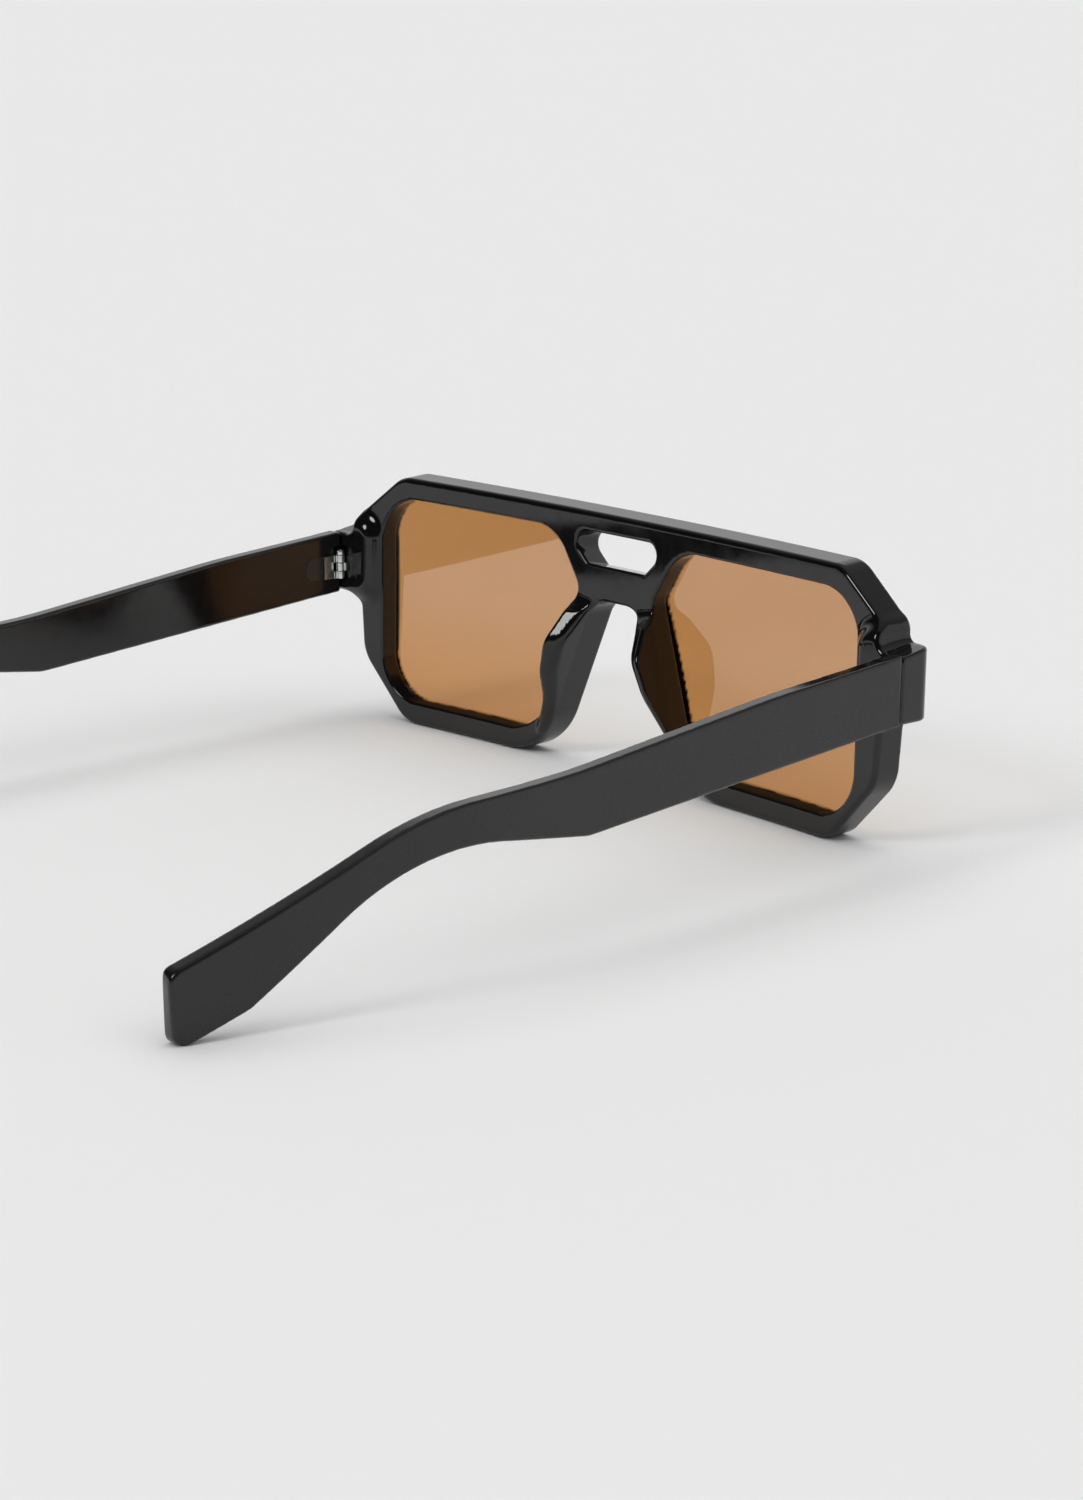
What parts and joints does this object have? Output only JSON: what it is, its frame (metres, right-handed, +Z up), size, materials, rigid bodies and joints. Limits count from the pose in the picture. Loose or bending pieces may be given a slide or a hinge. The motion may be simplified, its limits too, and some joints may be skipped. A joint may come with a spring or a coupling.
{
  "type": "sunglasses",
  "caption": "Square aviator sunglasses with a flat brow bar, slotted double bridge, chamfered rims, moulded nose pads, curved tinted lenses and temples that fold on metal hinges.",
  "frame": {"origin": "on the table plane, under the middle of the box round the open glasses", "axes": "+X is the wearer's left, -Y is the direction in which the wearer looks, +Z is up; the glasses stand open on their rims and temple tips"},
  "size_m": [0.1476, 0.1525, 0.0481],
  "materials": {
    "front_plastic": "polished injection-moulded black plastic",
    "temple_plastic": "injection-moulded black plastic, satin outside and polished inside",
    "lens_tint": "smooth brown-tinted transparent plastic",
    "hinge_metal": "pressed and nickel-plated hinge leaves",
    "screw_metal": "turned and polished steel screw"
  },
  "bodies": {
    "front": {"front_frame": "front_plastic", "lens_left": "lens_tint", "lens_right": "lens_tint", "front_leaf_left": "hinge_metal", "front_leaf_right": "hinge_metal"},
    "left_arm": {"temple_left": "temple_plastic", "temple_leaf_left": "hinge_metal", "hinge_screw_left": "screw_metal"},
    "right_arm": {"temple_right": "temple_plastic", "temple_leaf_right": "hinge_metal", "hinge_screw_right": "screw_metal"}
  },
  "joints": [
    {"name": "left_temple_fold", "type": "hinge", "parent": "front", "child": "left_arm", "pos_m": [0.07, -0.06362, 0.0291], "axis": [0, 0, 1], "range_deg": [0, 87]},
    {"name": "right_temple_fold", "type": "hinge", "parent": "front", "child": "right_arm", "pos_m": [-0.07, -0.06362, 0.0291], "axis": [0, 0, -1], "range_deg": [0, 76]}
  ]
}
